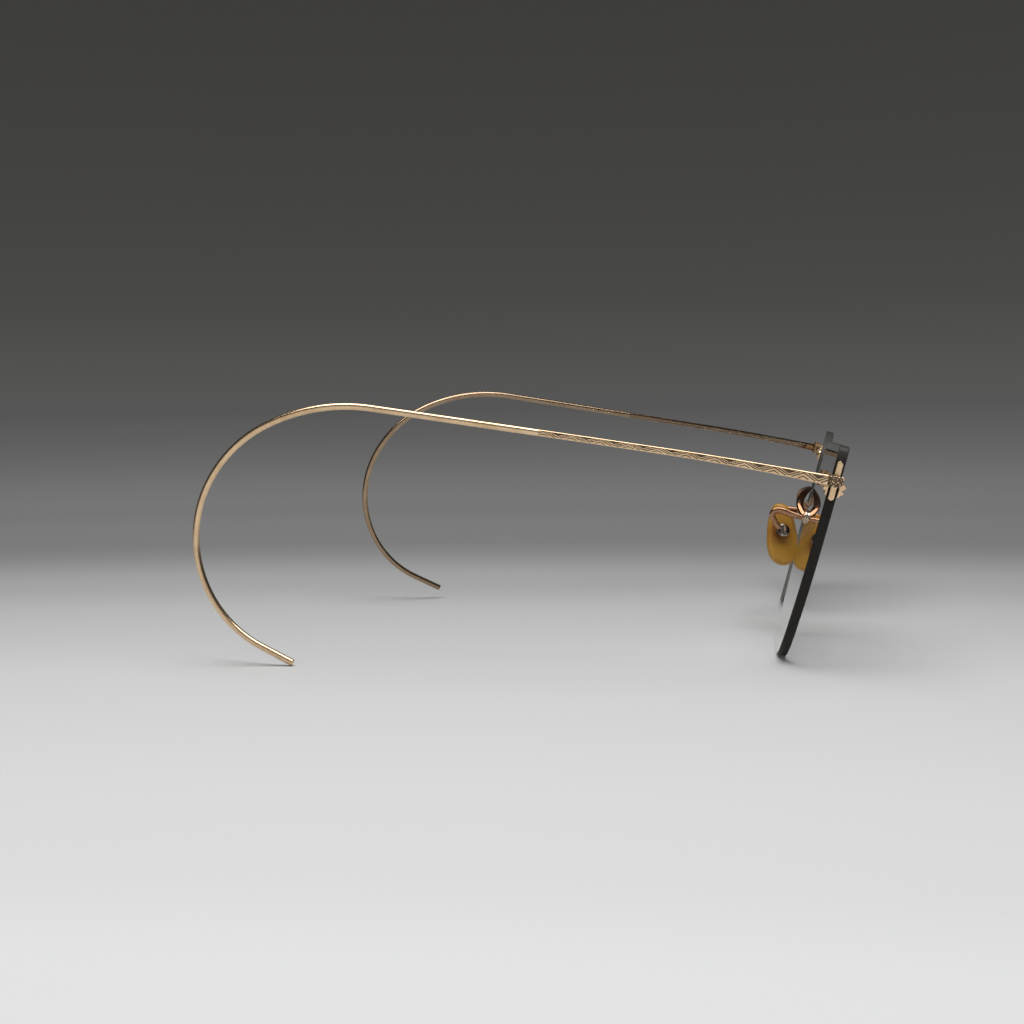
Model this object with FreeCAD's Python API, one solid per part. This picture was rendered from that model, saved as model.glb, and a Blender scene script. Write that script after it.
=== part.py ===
import FreeCAD, Part
import math
import os

# Rimless eyeglasses, in millimetres.
# Axes: +X towards the wearer's left, +Y towards the back of the head, +Z up.
# The spectacles stand on the two lens bottoms and the right temple's tip.
# Every piece is first built with Y = 0 at the right temple's joint line.

V = FreeCAD.Vector
X_AXIS = V(1, 0, 0)
Y_AXIS = V(0, 1, 0)
Z_AXIS = V(0, 0, 1)

# Whole frame
HINGE_HEIGHT = 34.13
BAR_OFFSET = 62.0
MIDDLE_Y = 55.9

# Lenses
LENS_TILT = 15.0
LENS_TURN = 1.4
LENS_EDGE_X = 59.2
LENS_BACK_Y = -0.28
LENS_THICKNESS = 1.75
LENS_RIM_BEVEL = 0.14
LENS_WIDTH = 47.2
# Corners of the outline: across from the temporal edge, up from the hinge, corner radius.
LENS_CORNERS = [
    (0.0, 6.15, 1.8),
    (43.6, 5.1, 8.0),
    (LENS_WIDTH, -5.0, 26.0),
    (LENS_WIDTH, -20.0, 21.0),
    (39.5, -34.9, 14.0),
    (11.2, -34.9, 15.0),
    (1.2, -18.0, 34.0),
    (0.0, -6.0, 30.0),
]
# The left lens is ground lower at its outer top corner.
LEFT_LENS_TOP = 4.8

# Straps that hold each lens: an edge shoe, two ears and one screw
EAR_RADIUS = 1.4
EAR_REACH = 2.2
EAR_THICKNESS = 0.45
SHOE_THICKNESS = 0.4
SHOE_TOP = 2.2
SHOE_BOTTOM = 0.35
NASAL_SHOE_HALF = 0.95
SCROLL_LENGTH = 1.1
TAB_WIDTH = 1.05
TEMPORAL_EAR_DROP = -1.35
TEMPORAL_TAB_TOP = 3.4
TEMPORAL_TAB_BOTTOM = -3.5
# Half-round scrolls across the temporal strap: depth beyond the face, up from the screw, radius
FRONT_SCROLLS = [(0.2, 0.55, 0.5), (0.1, -0.5, 0.45)]
BACK_SCROLLS = [(0.15, 0.75, 0.4), (0.1, -0.2, 0.35)]
NASAL_EAR_DROP = -11.0
NASAL_TAB_HALF = 2.3

# Lens screws
SCREW_RADIUS = 0.5
SCREW_HOLE_RADIUS = 0.6
THREAD_GAP = 0.02
SCREW_HEAD_RADIUS = 0.85
SCREW_HEAD_HEIGHT = 0.5
SLOTTED_END_RADIUS = 0.75
SLOTTED_END_HEIGHT = 0.35
SLOT_WIDTH = 0.22
SLOT_DEPTH = 0.18

# Hinges
AXIS_TILT = 11.87
AXIS_INSET = 1.35
AXIS_BEHIND_JOINT = 1.15
BARREL_RADIUS = 0.65
BARREL_HALF_HEIGHT = 1.2
MIDDLE_HALF_HEIGHT = 0.42
KNUCKLE_GAP = 0.06
PIN_RADIUS = 0.36
PIN_BORE_RADIUS = 0.40
PIN_HEAD_RADIUS = 0.6
PIN_HEAD_HEIGHT = 0.3
LEAF_PLATE = 0.25
LEAF_LENGTH = 2.6

# Endpieces, the small blocks between lens strap and hinge
ENDPIECE_OUTER = 62.63
ENDPIECE_INNER = 59.68
ENDPIECE_LENGTH = 2.45
ENDPIECE_HALF_HEIGHT = 1.0
ENDPIECE_EASE = 0.4

# Temples: each run of the centre line is a length and the angle it turns through
TEMPLE_RUNS = [
    (30.7, -3.2),
    (50.7, -0.1),
    (21.4, -34.9),
    (15.2, -35.0),
    (35.2, -92.4),
    (6.8, -0.4),
]
JOINT_GAP = 0.3
BAR_LENGTH = 50.6
BAR_HEIGHTS = [1.8, 1.53, 1.36, 1.27, 1.22, 1.19, 1.18, 1.17, 1.17]
BAR_THICKNESS = 0.9
BAR_EASE = 0.18
WIRE_RADIUS = 0.63
TIP_ROUNDING = 0.2
LEFT_FOLD = 23.8
LEFT_RAISE = 2.0

# Bridge: centre-line points from the right strap to the middle, with the band's front-to-back
# depth at each point and one thickness the other way
BRIDGE_POINTS = [
    V(-11.5, 3.0, 22.95),
    V(-10.5, 4.3, 24.0),
    V(-9.0, 4.9, 25.3),
    V(-6.6, 4.75, 26.8),
    V(-3.6, 3.7, 28.0),
    V(0.0, 2.9, 28.4),
]
BRIDGE_DEPTHS = [1.25, 1.4, 1.55, 1.6, 1.45, 1.3]
BRIDGE_THICKNESS = 0.95

# Guard arms: from the nasal strap back, round and down to the pad box
ARM_POINTS = [
    V(-11.6, 3.0, 23.0),
    V(-11.8, 5.1, 23.5),
    V(-11.9, 7.65, 24.35),
    V(-11.9, 9.75, 24.7),
    V(-11.8, 10.5, 24.05),
    V(-11.6, 10.15, 22.9),
    V(-11.35, 9.5, 21.7),
    V(-11.1, 8.85, 20.7),
]
# The left arm is bent lower than the right one.
LEFT_ARM_POINTS = [
    V(-11.6, 3.0, 23.0),
    V(-11.8, 5.1, 22.85),
    V(-11.9, 7.65, 23.0),
    V(-11.9, 9.5, 23.2),
    V(-11.8, 10.2, 22.75),
    V(-11.6, 10.05, 22.05),
    V(-11.35, 9.5, 21.3),
    V(-11.1, 8.85, 20.65),
]
ARM_HEIGHTS = [0.95, 1.0, 1.25, 1.4, 1.3, 1.15, 1.1, 1.1]
ARM_THICKNESS = 0.85
BAND_STATIONS = 18

# Nose pads
PAD_MOUNT = V(-9.6, 8.8, 20.1)
PAD_SPLAY = 25.0
PAD_SLOPE = 18.0
PAD_LEAN = -6.0
PAD_THICKNESS = 1.8
PAD_ROUNDING = 0.75
# Outline: forward and up from the mount
PAD_OUTLINE = [
    (0.4, 5.05),
    (2.15, 4.25),
    (3.0, 2.25),
    (3.45, -0.35),
    (3.65, -2.95),
    (2.85, -5.65),
    (0.4, -6.85),
    (-2.05, -5.65),
    (-2.85, -2.95),
    (-2.65, -0.35),
    (-2.2, 2.25),
    (-1.35, 4.25),
]
STUD_DISC_RADIUS = 1.0
STUD_DISC_DEPTH = 0.5
STUD_GAP = 0.03
STUD_HALF_WIDTH = 0.45
STUD_HALF_HEIGHT = 0.34
STUD_LENGTH = 1.5
PAD_PIN_OUT = 1.1
PAD_PIN_RADIUS = 0.26
PAD_PIN_GAP = 0.03
PAD_PIN_HALF_LENGTH = 1.2
BOX_RADIUS = 1.3
BOX_START = 0.55
BOX_END = 1.95
BOX_ROUNDING = 0.35
BOX_SLOT_HALF_WIDTH = 0.6
BOX_SLOT_HALF_HEIGHT = 0.55
BOX_SLOT_END = 1.68


def box(x_range, y_range, z_range):
    """A box from its three coordinate ranges."""
    size = [high - low for low, high in (x_range, y_range, z_range)]
    return Part.makeBox(*size, V(x_range[0], y_range[0], z_range[0]))


def cylinder(radius, start, end):
    """A cylinder from one end's centre to the other's."""
    return Part.makeCylinder(radius, (end - start).Length, start, end - start)


def mirrored(shape):
    """The same piece for the wearer's left side."""
    return shape.mirror(V(0, 0, 0), X_AXIS)


def placed(shape, placement):
    """A copy of a shape moved into the frame that a placement describes."""
    copy = shape.copy()
    copy.Placement = placement.multiply(copy.Placement)
    return copy


def rounded_wire(corners, to_point):
    """A closed outline of straight sides with a rounding arc at each corner."""
    count = len(corners)
    edges = []
    last_end = None
    first_start = None
    for index in range(count):
        before, here, after = (V(*corners[(index + k) % count][:2], 0) for k in (-1, 0, 1))
        radius = corners[index][2]
        towards_before = (before - here).normalize()
        towards_after = (after - here).normalize()
        half_angle = towards_before.getAngle(towards_after) / 2
        reach = radius / math.tan(half_angle)
        start = here + towards_before * reach
        end = here + towards_after * reach
        middle = (towards_before + towards_after).normalize()
        top = here + middle * (radius / math.sin(half_angle) - radius)
        if last_end is None:
            first_start = start
        else:
            edges.append(Part.makeLine(to_point(last_end), to_point(start)))
        edges.append(Part.Arc(to_point(start), to_point(top), to_point(end)).toShape())
        last_end = end
    edges.append(Part.makeLine(to_point(last_end), to_point(first_start)))
    return Part.Wire(edges)


def lens_placement():
    """Right lens frame: X along the lens to the nose, Y out of its back, Z up the lens."""
    turn = FreeCAD.Rotation(Z_AXIS, LENS_TURN) * FreeCAD.Rotation(X_AXIS, LENS_TILT)
    return FreeCAD.Placement(V(-LENS_EDGE_X, LENS_BACK_Y, HINGE_HEIGHT), turn)


def hinge_placement():
    """Right hinge frame: X outwards to inwards, Y along the temple bar, Z up the hinge axis."""
    rise = math.radians(AXIS_TILT)
    centre = V(
        AXIS_INSET - BAR_OFFSET,
        AXIS_BEHIND_JOINT,
        HINGE_HEIGHT + AXIS_BEHIND_JOINT * math.tan(rise),
    )
    return FreeCAD.Placement(centre, FreeCAD.Rotation(X_AXIS, AXIS_TILT))


def pad_placement():
    """Right pad frame: X out towards the temple, Y forward, Z up the pad."""
    turn = (
        FreeCAD.Rotation(X_AXIS, PAD_LEAN)
        * FreeCAD.Rotation(Y_AXIS, PAD_SLOPE)
        * FreeCAD.Rotation(Z_AXIS, 180 + PAD_SPLAY)
    )
    return FreeCAD.Placement(PAD_MOUNT, turn)


def screw_places():
    """The two drilled holes of a lens, as (across, up) in the lens frame."""
    return [(EAR_REACH, TEMPORAL_EAR_DROP), (LENS_WIDTH - EAR_REACH, NASAL_EAR_DROP)]


def lens(corners):
    """A flat lens with a ground edge, bevelled rims and two drilled holes."""
    outline = rounded_wire(corners, lambda p: V(p.x, -LENS_THICKNESS, p.y))
    blank = Part.Face(outline).extrude(V(0, LENS_THICKNESS, 0))
    rims = [edge for edge in blank.Edges if edge.BoundBox.YLength < 1e-3]
    blank = blank.makeChamfer(LENS_RIM_BEVEL, rims)
    for across, up in screw_places():
        hole = cylinder(SCREW_HOLE_RADIUS, V(across, -3, up), V(across, 3, up))
        blank = blank.cut(hole)
    return blank


def ear(low, high):
    """One ear of a strap: a tongue with a round end, between two depths."""
    arm = box((-SHOE_THICKNESS, EAR_REACH), (low, high), (-EAR_RADIUS, EAR_RADIUS))
    end = cylinder(EAR_RADIUS, V(EAR_REACH, low, 0), V(EAR_REACH, high, 0))
    return arm.fuse(end)


def edge_tab(bottom, top):
    """The narrow strip that lies along the lens edge, with two round ends."""
    middle = -LENS_THICKNESS / 2
    radius = TAB_WIDTH / 2
    strip = box(
        (-SHOE_THICKNESS, 0),
        (middle - radius, middle + radius),
        (bottom + radius, top - radius),
    )
    for up in (bottom + radius, top - radius):
        end = cylinder(radius, V(-SHOE_THICKNESS, middle, up), V(0, middle, up))
        strip = strip.fuse(end)
    return strip


def strap(tab, shoe_range):
    """Shoe, front ear and back ear in one; zero height is at the screw."""
    front = -LENS_THICKNESS
    body = box((-SHOE_THICKNESS, 0), (front - EAR_THICKNESS, EAR_THICKNESS), shoe_range)
    body = body.fuse(ear(front - EAR_THICKNESS, front))
    body = body.fuse(ear(0, EAR_THICKNESS))
    body = body.fuse(edge_tab(*tab))
    hole = cylinder(SCREW_RADIUS + THREAD_GAP, V(EAR_REACH, -4, 0), V(EAR_REACH, 4, 0))
    return body.cut(hole).removeSplitter()


def scroll(depth, up, radius):
    """A short half-round rib that runs across the lens edge."""
    return cylinder(radius, V(-SHOE_THICKNESS, depth, up), V(SCROLL_LENGTH, depth, up))


def temporal_strap():
    """The outer strap with its scrolls, moved to its height on the lens edge."""
    tab = (TEMPORAL_TAB_BOTTOM - TEMPORAL_EAR_DROP, TEMPORAL_TAB_TOP - TEMPORAL_EAR_DROP)
    body = strap(tab, (SHOE_BOTTOM, SHOE_TOP))
    for depth, up, radius in FRONT_SCROLLS:
        body = body.fuse(scroll(-LENS_THICKNESS - EAR_THICKNESS - depth, up, radius))
    for depth, up, radius in BACK_SCROLLS:
        body = body.fuse(scroll(EAR_THICKNESS + depth, up, radius))
    room = box((-1, 3), (-LENS_THICKNESS, 0), (-3, 3)).cut(
        box((-1, 0), (-LENS_THICKNESS, 0), (-3, 3)))
    body = body.cut(room)
    body.translate(V(0, 0, TEMPORAL_EAR_DROP))
    return body


def nasal_strap():
    """The inner strap, facing the other way on the nose side of the lens."""
    tab = (-NASAL_TAB_HALF, NASAL_TAB_HALF)
    body = strap(tab, (-NASAL_SHOE_HALF, NASAL_SHOE_HALF)).mirror(V(0, 0, 0), X_AXIS)
    return placed(body, FreeCAD.Placement(V(LENS_WIDTH, 0, NASAL_EAR_DROP), FreeCAD.Rotation()))


def lens_screw():
    """Screw with a domed head behind the lens and a slotted end in front."""
    back = EAR_THICKNESS
    front = -LENS_THICKNESS - EAR_THICKNESS
    shank = cylinder(SCREW_RADIUS, V(0, front, 0), V(0, back, 0))
    dome_radius = (SCREW_HEAD_RADIUS**2 + SCREW_HEAD_HEIGHT**2) / (2 * SCREW_HEAD_HEIGHT)
    ball = Part.makeSphere(dome_radius, V(0, back + SCREW_HEAD_HEIGHT - dome_radius, 0))
    seat = box((-3, 3), (back, back + 3), (-3, 3))
    end = cylinder(SLOTTED_END_RADIUS, V(0, front - SLOTTED_END_HEIGHT, 0), V(0, front, 0))
    slot = box(
        (-1, 1),
        (front - SLOTTED_END_HEIGHT - 1, front - SLOTTED_END_HEIGHT + SLOT_DEPTH),
        (-SLOT_WIDTH / 2, SLOT_WIDTH / 2),
    )
    return shank.fuse(ball.common(seat)).fuse(end.cut(slot)).removeSplitter()


def endpiece():
    """Small block from the strap round to the hinge, with a round front end."""
    centre_x = BAR_OFFSET - AXIS_INSET
    outer = centre_x - ENDPIECE_OUTER
    inner = centre_x - ENDPIECE_INNER
    back = -AXIS_BEHIND_JOINT
    half = ENDPIECE_HALF_HEIGHT
    middle = back - ENDPIECE_LENGTH + half
    block = box((outer, inner), (middle, back), (-half, half))
    block = block.fuse(cylinder(half, V(outer, middle, 0), V(inner, middle, 0)))
    block = block.removeSplitter()
    outer_rim = [
        edge
        for edge in block.Edges
        if edge.BoundBox.XMax < outer + 0.01 and edge.BoundBox.YMin < back - 0.01
    ]
    return block.makeFillet(ENDPIECE_EASE, outer_rim)


def barrel(bottom, top, bore_radius):
    """One hinge knuckle as a short tube on the hinge axis."""
    tube = cylinder(BARREL_RADIUS, V(0, 0, bottom), V(0, 0, top))
    bore = cylinder(bore_radius, V(0, 0, bottom - 1), V(0, 0, top + 1))
    return tube, bore


def front_hinge_leaf():
    """Upper and lower knuckles on a plate brazed to the endpiece."""
    back = -AXIS_BEHIND_JOINT
    top = BARREL_HALF_HEIGHT
    low = MIDDLE_HALF_HEIGHT + KNUCKLE_GAP
    leaf = box((-BARREL_RADIUS, BARREL_RADIUS), (back, back + LEAF_PLATE), (-top, top))
    for bottom, upper in ((low, top), (-top, -low)):
        tube, bore = barrel(bottom, upper, PIN_RADIUS + THREAD_GAP)
        web = box((-BARREL_RADIUS * 0.7, BARREL_RADIUS), (back, 0), (bottom, upper))
        leaf = leaf.fuse(web.fuse(tube)).cut(bore)
    return leaf.removeSplitter()


def temple_hinge_leaf():
    """Middle knuckle with the tongue brazed inside the temple bar."""
    half = MIDDLE_HALF_HEIGHT
    bar_face = BAR_THICKNESS / 2 - AXIS_INSET
    tube, bore = barrel(-half, half, PIN_BORE_RADIUS)
    tongue = box((bar_face, -BARREL_RADIUS * 0.3), (0, LEAF_LENGTH), (-half, half))
    return tongue.fuse(tube).cut(bore).removeSplitter()


def hinge_screw():
    """Slotted screw that is the hinge's pin."""
    top = BARREL_HALF_HEIGHT
    shank = cylinder(PIN_RADIUS, V(0, 0, -top), V(0, 0, top))
    head = cylinder(PIN_HEAD_RADIUS, V(0, 0, top), V(0, 0, top + PIN_HEAD_HEIGHT))
    slot = box((-1, 1), (-SLOT_WIDTH / 2, SLOT_WIDTH / 2), (top + PIN_HEAD_HEIGHT - SLOT_DEPTH, top + 1))
    return shank.fuse(head.cut(slot)).removeSplitter()


def temple_point(distance):
    """Point and heading of the temple's centre line, in the hinge frame."""
    point = V(-AXIS_INSET, -AXIS_BEHIND_JOINT, 0)
    heading = 0.0
    left = distance
    for length, turn in TEMPLE_RUNS:
        step = min(left, length)
        swing = math.radians(turn) * step / length
        chord = step if swing == 0 else 2 * step / swing * math.sin(swing / 2)
        middle = heading + swing / 2
        point = point + V(0, chord * math.cos(middle), chord * math.sin(middle))
        heading += swing
        left -= step
        if left <= 0:
            break
    return point, heading


def temple_bar():
    """Flat bar that tapers back from the hinge, with eased long edges."""
    upper = []
    lower = []
    for index, height in enumerate(BAR_HEIGHTS):
        share = index / (len(BAR_HEIGHTS) - 1)
        point, heading = temple_point(JOINT_GAP + share * (BAR_LENGTH - JOINT_GAP))
        across = V(0, -math.sin(heading), math.cos(heading)) * height / 2
        side = V(-BAR_THICKNESS / 2, 0, 0)
        upper.append(point + across + side)
        lower.append(point - across + side)
    edges = []
    for row in (upper, lower):
        curve = Part.BSplineCurve()
        curve.interpolate(row)
        edges.append(curve.toShape())
    edges.append(Part.makeLine(upper[0], lower[0]))
    edges.append(Part.makeLine(upper[-1], lower[-1]))
    face = Part.Face(Part.Wire(Part.__sortEdges__(edges)))
    bar = face.extrude(V(BAR_THICKNESS, 0, 0))
    long_edges = [edge for edge in bar.Edges if edge.Length > BAR_LENGTH / 2]
    return bar.makeFillet(BAR_EASE, long_edges)


def temple_wire():
    """Round wire from the bar back over the ear and round the hook."""
    edges = []
    reached = 0.0
    for length, _ in TEMPLE_RUNS:
        begin = max(reached, BAR_LENGTH)
        reached += length
        if reached > BAR_LENGTH:
            stops = (begin, (begin + reached) / 2, reached)
            edges.append(Part.Arc(*[temple_point(stop)[0] for stop in stops]).toShape())
    start, heading = temple_point(BAR_LENGTH)
    along = V(0, math.cos(heading), math.sin(heading))
    ring = Part.Wire([Part.makeCircle(WIRE_RADIUS, start, along)])
    wire = Part.Wire(edges).makePipe(Part.Face(ring))
    tip_centre, _ = temple_point(reached)
    tip = [edge for edge in wire.Edges if edge.CenterOfMass.distanceToPoint(tip_centre) < 0.1]
    return wire.makeFillet(TIP_ROUNDING, tip)


def band_section(centre, along, side, side_size, other_size):
    """Oval cross-section of a band, with one of its diameters in the side direction."""
    first = (side - along * side.dot(along)).normalize()
    second = first.cross(along)
    longer, long_size, short_size = first, side_size, other_size
    if side_size < other_size:
        longer, long_size, short_size = second, other_size, side_size
    oval = Part.Wire([Part.Ellipse(V(0, 0, 0), long_size / 2, short_size / 2).toShape()])
    turn = FreeCAD.Rotation(longer, along.cross(longer), along, "ZXY")
    oval.Placement = FreeCAD.Placement(centre, turn)
    return oval


def blended(values, share):
    """A value between the listed ones, at a share of the way along the list."""
    position = share * (len(values) - 1)
    whole = min(int(position), len(values) - 2)
    return values[whole] + (position - whole) * (values[whole + 1] - values[whole])


def band(points, side, side_sizes, other_sizes):
    """A bent oval band through the points, with its sizes blended along the way."""
    curve = Part.BSplineCurve()
    curve.interpolate(points)
    sections = []
    for index in range(BAND_STATIONS + 1):
        share = index / BAND_STATIONS
        place = curve.FirstParameter + share * (curve.LastParameter - curve.FirstParameter)
        sizes = [blended(row, share) for row in (side_sizes, other_sizes)]
        along = curve.tangent(place)[0]
        sections.append(band_section(curve.value(place), along, side, *sizes))
    return Part.makeLoft(sections, True)


def bridge(right_strap):
    """Band from strap to strap, bowed back and up over the nose."""
    other_half = [V(-p.x, p.y, p.z) for p in reversed(BRIDGE_POINTS[:-1])]
    depths = BRIDGE_DEPTHS + BRIDGE_DEPTHS[-2::-1]
    thickness = [BRIDGE_THICKNESS, BRIDGE_THICKNESS]
    whole = band(BRIDGE_POINTS + other_half, Y_AXIS, depths, thickness)
    for piece in (right_strap, mirrored(right_strap)):
        whole = whole.cut(piece)
    return largest(whole)


def guard_arm(points, neighbours):
    """Bent arm that carries the nose pad behind the lens, trimmed where it meets other pieces."""
    arm = band(points, X_AXIS, [ARM_THICKNESS, ARM_THICKNESS], ARM_HEIGHTS)
    for piece in neighbours:
        arm = arm.cut(piece)
    return largest(arm)


def largest(shape):
    """The biggest solid of a shape, once its ends have been trimmed."""
    return max(shape.Solids, key=lambda solid: solid.Volume)


def nose_pad():
    """Egg-shaped pad with rounded rims and a seat for its metal stud."""
    curve = Part.BSplineCurve()
    points = [V(-PAD_THICKNESS, forward, up) for forward, up in PAD_OUTLINE]
    curve.interpolate(points, PeriodicFlag=True)
    body = Part.Face(Part.Wire([curve.toShape()])).extrude(V(PAD_THICKNESS, 0, 0))
    rims = [edge for edge in body.Edges if edge.BoundBox.XLength < 0.01]
    body = body.makeFillet(PAD_ROUNDING, rims)
    seat = cylinder(STUD_DISC_RADIUS + STUD_GAP, V(-STUD_DISC_DEPTH - STUD_GAP, 0, 0), V(1, 0, 0))
    return body.cut(seat)


def pad_stud():
    """Metal stud: a disc let into the pad and a post with a cross hole."""
    disc = cylinder(STUD_DISC_RADIUS, V(-STUD_DISC_DEPTH, 0, 0), V(0.12, 0, 0))
    post = box(
        (0, STUD_LENGTH),
        (-STUD_HALF_WIDTH, STUD_HALF_WIDTH),
        (-STUD_HALF_HEIGHT, STUD_HALF_HEIGHT),
    )
    hole = cylinder(PAD_PIN_RADIUS + PAD_PIN_GAP, V(PAD_PIN_OUT, -2, 0), V(PAD_PIN_OUT, 2, 0))
    return disc.fuse(post).cut(hole).removeSplitter()


def pad_box_blank():
    """The round box before it is slotted, with its outer rim rounded."""
    body = cylinder(BOX_RADIUS, V(BOX_START, 0, 0), V(BOX_END, 0, 0))
    rim = [edge for edge in body.Edges if edge.BoundBox.XMin > BOX_END - 0.01]
    return body.makeFillet(BOX_ROUNDING, rim)


def pad_box():
    """Round box on the guard arm, slotted for the stud's post."""
    body = pad_box_blank()
    slot = box(
        (0, BOX_SLOT_END),
        (-BOX_SLOT_HALF_WIDTH, BOX_SLOT_HALF_WIDTH),
        (-BOX_SLOT_HALF_HEIGHT, BOX_SLOT_HALF_HEIGHT),
    )
    hole = cylinder(PAD_PIN_RADIUS + THREAD_GAP, V(PAD_PIN_OUT, -2, 0), V(PAD_PIN_OUT, 2, 0))
    return body.cut(slot).cut(hole)


def pad_pin():
    """Cross pin on which the pad rocks."""
    half = PAD_PIN_HALF_LENGTH
    return cylinder(PAD_PIN_RADIUS, V(PAD_PIN_OUT, -half, 0), V(PAD_PIN_OUT, half, 0))


def on_both_sides(name, shape, placement):
    """A fixed piece of the front, on the right and mirrored on the left."""
    right = placed(shape, placement)
    return {"right_" + name: right, "left_" + name: mirrored(right)}


def temple_pieces():
    """Both temples: the right one open, the left one partly folded inwards."""
    hinge = hinge_placement()
    left_centre = V(-hinge.Base.x, hinge.Base.y, hinge.Base.z)
    left_hinge = FreeCAD.Placement(left_centre, hinge.Rotation)
    fold = FreeCAD.Placement(V(0, 0, 0), FreeCAD.Rotation(Z_AXIS, LEFT_FOLD))
    lift = FreeCAD.Placement(V(0, 0, 0), FreeCAD.Rotation(X_AXIS, LEFT_RAISE))
    across = FreeCAD.Placement(V(2 * AXIS_INSET, 0, 0), FreeCAD.Rotation())
    left_bar_frame = left_hinge.multiply(fold).multiply(lift).multiply(across)
    pieces = {}
    for name, shape in (("temple_bar", temple_bar()), ("temple_wire", temple_wire())):
        pieces["right_" + name] = placed(shape, hinge)
        pieces["left_" + name] = placed(shape, left_bar_frame)
    leaf = temple_hinge_leaf()
    pieces["right_temple_hinge_leaf"] = placed(leaf, hinge)
    pieces["left_temple_hinge_leaf"] = placed(mirrored(leaf), left_hinge.multiply(fold))
    return pieces


def screws():
    """The four lens screws as one group and the two hinge screws as another."""
    frame = lens_placement()
    lens_group = []
    for across, up in screw_places():
        spot = FreeCAD.Placement(V(across, 0, up), FreeCAD.Rotation())
        right = placed(lens_screw(), frame.multiply(spot))
        lens_group += [right, mirrored(right)]
    hinge_right = placed(hinge_screw(), hinge_placement())
    return {
        "lens_screws": Part.makeCompound(lens_group),
        "hinge_screws": Part.makeCompound([hinge_right, mirrored(hinge_right)]),
    }


def all_pieces():
    """Every piece of the spectacles, by name."""
    lens_frame = lens_placement()
    hinge_frame = hinge_placement()
    pad_frame = pad_placement()
    pieces = {}
    pieces["right_lens"] = placed(lens(LENS_CORNERS), lens_frame)
    left_corners = [(0.0, LEFT_LENS_TOP, LENS_CORNERS[0][2])] + LENS_CORNERS[1:]
    pieces["left_lens"] = mirrored(placed(lens(left_corners), lens_frame))
    pieces.update(on_both_sides("temporal_strap", temporal_strap(), lens_frame))
    pieces.update(on_both_sides("nasal_strap", nasal_strap(), lens_frame))
    pieces.update(on_both_sides("endpiece", endpiece(), hinge_frame))
    pieces.update(on_both_sides("front_hinge_leaf", front_hinge_leaf(), hinge_frame))
    pieces.update(on_both_sides("nose_pad", nose_pad(), pad_frame))
    pieces.update(on_both_sides("pad_stud", pad_stud(), pad_frame))
    pieces.update(on_both_sides("pad_box", pad_box(), pad_frame))
    pieces.update(on_both_sides("pad_pin", pad_pin(), pad_frame))
    right_strap = pieces["right_nasal_strap"]
    pieces["bridge"] = bridge(right_strap)
    blank = placed(pad_box_blank(), pad_frame)
    neighbours = [right_strap, pieces["bridge"], blank, pieces["right_pad_pin"]]
    pieces["right_guard_arm"] = guard_arm(ARM_POINTS, neighbours)
    pieces["left_guard_arm"] = mirrored(guard_arm(LEFT_ARM_POINTS, neighbours))
    pieces.update(screws())
    pieces.update(temple_pieces())
    return pieces


os.makedirs("parts", exist_ok=True)
for node, shape in all_pieces().items():
    shape.translate(V(0, -MIDDLE_Y, 0))
    shape.exportStep("parts/" + node + ".step")
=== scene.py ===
"""Rimless eyeglasses with chased bar temples and wire ear hooks, dressed over their CAD frame.

Lengths are in metres. +X is the wearer's left, +Y the back of the head, +Z up.
"""

import math

import bmesh
import bpy
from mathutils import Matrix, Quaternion, Vector
from mathutils.bvhtree import BVHTree


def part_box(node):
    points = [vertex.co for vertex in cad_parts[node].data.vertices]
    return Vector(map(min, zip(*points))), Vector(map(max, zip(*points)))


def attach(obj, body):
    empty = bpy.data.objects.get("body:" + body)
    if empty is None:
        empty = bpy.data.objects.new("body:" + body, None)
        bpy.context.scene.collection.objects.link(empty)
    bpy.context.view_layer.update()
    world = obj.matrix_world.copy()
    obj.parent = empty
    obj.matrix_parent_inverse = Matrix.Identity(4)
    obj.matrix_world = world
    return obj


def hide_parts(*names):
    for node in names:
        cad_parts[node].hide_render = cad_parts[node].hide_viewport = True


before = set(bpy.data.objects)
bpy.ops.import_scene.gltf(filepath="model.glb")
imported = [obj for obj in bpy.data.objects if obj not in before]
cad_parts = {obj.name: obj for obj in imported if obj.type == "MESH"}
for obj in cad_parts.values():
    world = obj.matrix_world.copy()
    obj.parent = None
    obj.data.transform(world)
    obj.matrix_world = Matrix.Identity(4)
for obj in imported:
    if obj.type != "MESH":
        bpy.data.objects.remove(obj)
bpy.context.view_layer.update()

bl_info = {
    "name": "Rimless Spectacles",
    "version": (1, 0, 0),
    "blender": (4, 5, 0),
    "location": "3D View > Sidebar > Spectacles",
    "description": "Finishes a pair of rimless spectacles and sets them on a studio table",
    "category": "Object",
}

MM = 0.001
SIDES = ("right", "left")


# ---------------------------------------------------------------- sizes and colours


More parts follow.
